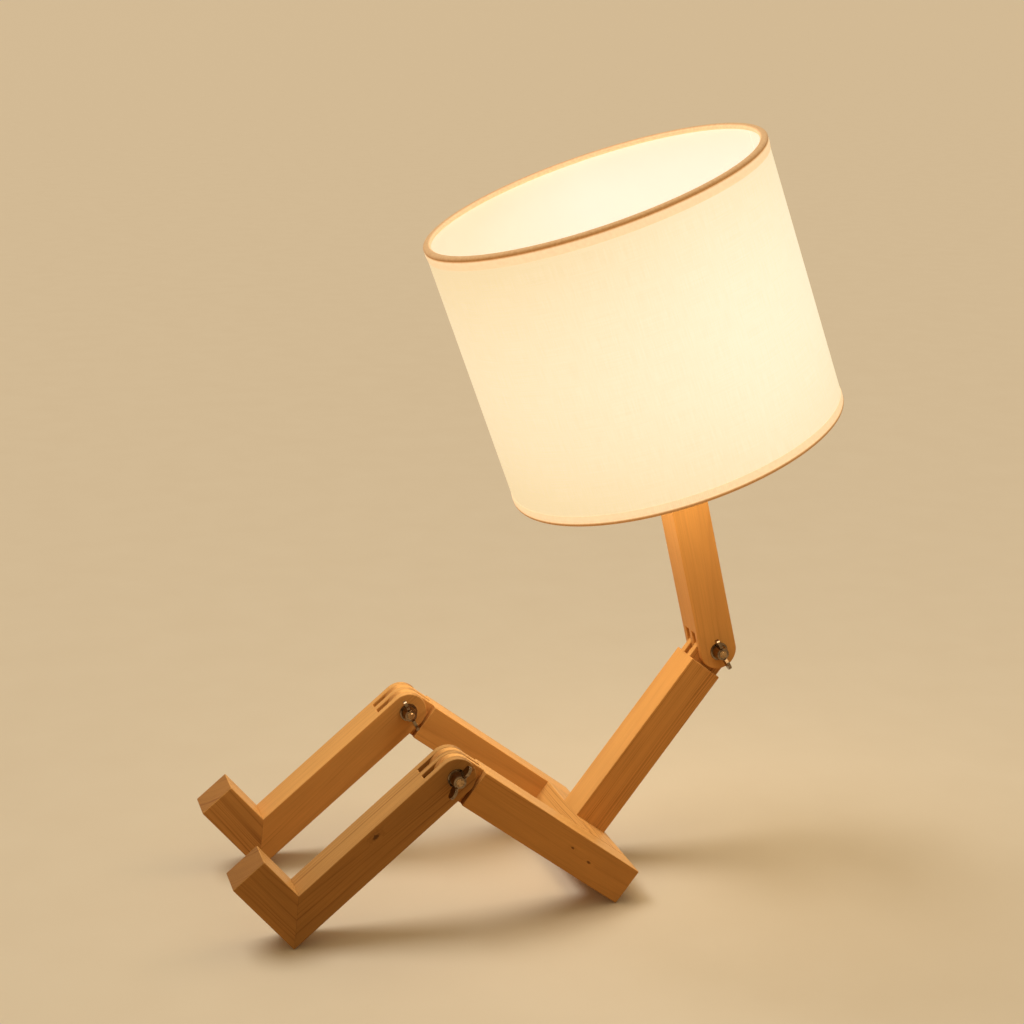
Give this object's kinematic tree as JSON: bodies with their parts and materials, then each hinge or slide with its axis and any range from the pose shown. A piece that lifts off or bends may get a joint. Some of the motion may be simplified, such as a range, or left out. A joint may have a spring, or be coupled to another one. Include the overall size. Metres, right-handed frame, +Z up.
{
  "type": "articulated wooden table lamp",
  "caption": "Table lamp of square wooden bars in finger hinges with wing nuts, shaped like a seated figure with a fabric drum shade for its head.",
  "frame": {"origin": "on the table, below the middle of the lamp's box", "axes": "+Z up, -Y where the feet point, +X the seated figure's left side"},
  "size_m": [0.22, 0.4094, 0.4806],
  "materials": {
    "bar_wood": "honey-coloured pine under a satin clear lacquer",
    "dowel_wood": "plain beech",
    "nickel_plate": "bright nickel plate",
    "zinc_plate": "zinc-plated steel",
    "holder_plastic": "moulded thermoset, satin",
    "core_plastic": "glazed ceramic look, matt",
    "brass": "pressed brass",
    "bush_plastic": "black nylon",
    "bulb_plastic": "white moulded plastic",
    "opal_dome": "opal diffuser, lit warm white",
    "shade_fabric": "off-white woven fabric laminated on a translucent liner, glowing",
    "hem_fabric": "woven tape folded over the wire"
  },
  "bodies": {
    "hips": {"thigh_left": "bar_wood", "thigh_right": "bar_wood", "hip_block": "bar_wood", "torso": "bar_wood", "hip_dowels": "dowel_wood", "torso_screws": "zinc_plate"},
    "shin_left": {"shin_left": "bar_wood", "foot_left": "bar_wood", "mitre_dowel_left": "dowel_wood", "knee_bolt_left": "nickel_plate", "knee_washers_left": "nickel_plate"},
    "shin_right": {"shin_right": "bar_wood", "foot_right": "bar_wood", "mitre_dowel_right": "dowel_wood", "knee_bolt_right": "nickel_plate", "knee_washers_right": "nickel_plate"},
    "knee_nut_left": {"knee_wing_nut_left": "nickel_plate"},
    "knee_nut_right": {"knee_wing_nut_right": "nickel_plate"},
    "neck": {"neck": "bar_wood", "neck_bolt": "nickel_plate", "neck_washers": "nickel_plate", "cord_bush": "bush_plastic", "holder_nipple": "zinc_plate", "nipple_nut": "zinc_plate", "holder_cap": "holder_plastic", "holder_shell": "holder_plastic", "shade_ring": "holder_plastic", "holder_core": "core_plastic", "holder_sleeve": "brass", "holder_contact": "brass", "terminal_screws": "brass", "bulb_cap": "zinc_plate", "bulb_insulator": "bush_plastic", "bulb_contact": "brass", "bulb_body": "bulb_plastic", "led_board": "bulb_plastic", "bulb_dome": "opal_dome", "fitter_ring": "zinc_plate", "spider_arms": "zinc_plate", "ring_bottom": "zinc_plate", "ring_top": "zinc_plate", "shade_drum": "shade_fabric", "hem_top": "hem_fabric", "hem_bottom": "hem_fabric"},
    "neck_nut": {"neck_wing_nut": "nickel_plate"}
  },
  "joints": [
    {"name": "knee_left", "type": "hinge", "parent": "hips", "child": "shin_left", "pos_m": [0.0585, -0.06619, 0.09872], "axis": [-1, 0, 0], "range_deg": [-17, 77]},
    {"name": "knee_right", "type": "hinge", "parent": "hips", "child": "shin_right", "pos_m": [-0.0585, -0.06619, 0.09872], "axis": [-1, 0, 0], "range_deg": [-17, 77]},
    {"name": "neck_tilt", "type": "hinge", "parent": "hips", "child": "neck", "pos_m": [0, 0.12973, 0.14042], "axis": [-1, 0, 0], "range_deg": [-34, 110]},
    {"name": "knee_nut_left_turn", "type": "hinge", "parent": "shin_left", "child": "knee_nut_left", "pos_m": [0.0585, -0.06619, 0.09872], "axis": [1, 0, 0], "continuous": true},
    {"name": "knee_nut_right_turn", "type": "hinge", "parent": "shin_right", "child": "knee_nut_right", "pos_m": [-0.0585, -0.06619, 0.09872], "axis": [1, 0, 0], "continuous": true},
    {"name": "neck_nut_turn", "type": "hinge", "parent": "neck", "child": "neck_nut", "pos_m": [0, 0.12973, 0.14042], "axis": [1, 0, 0], "continuous": true}
  ]
}
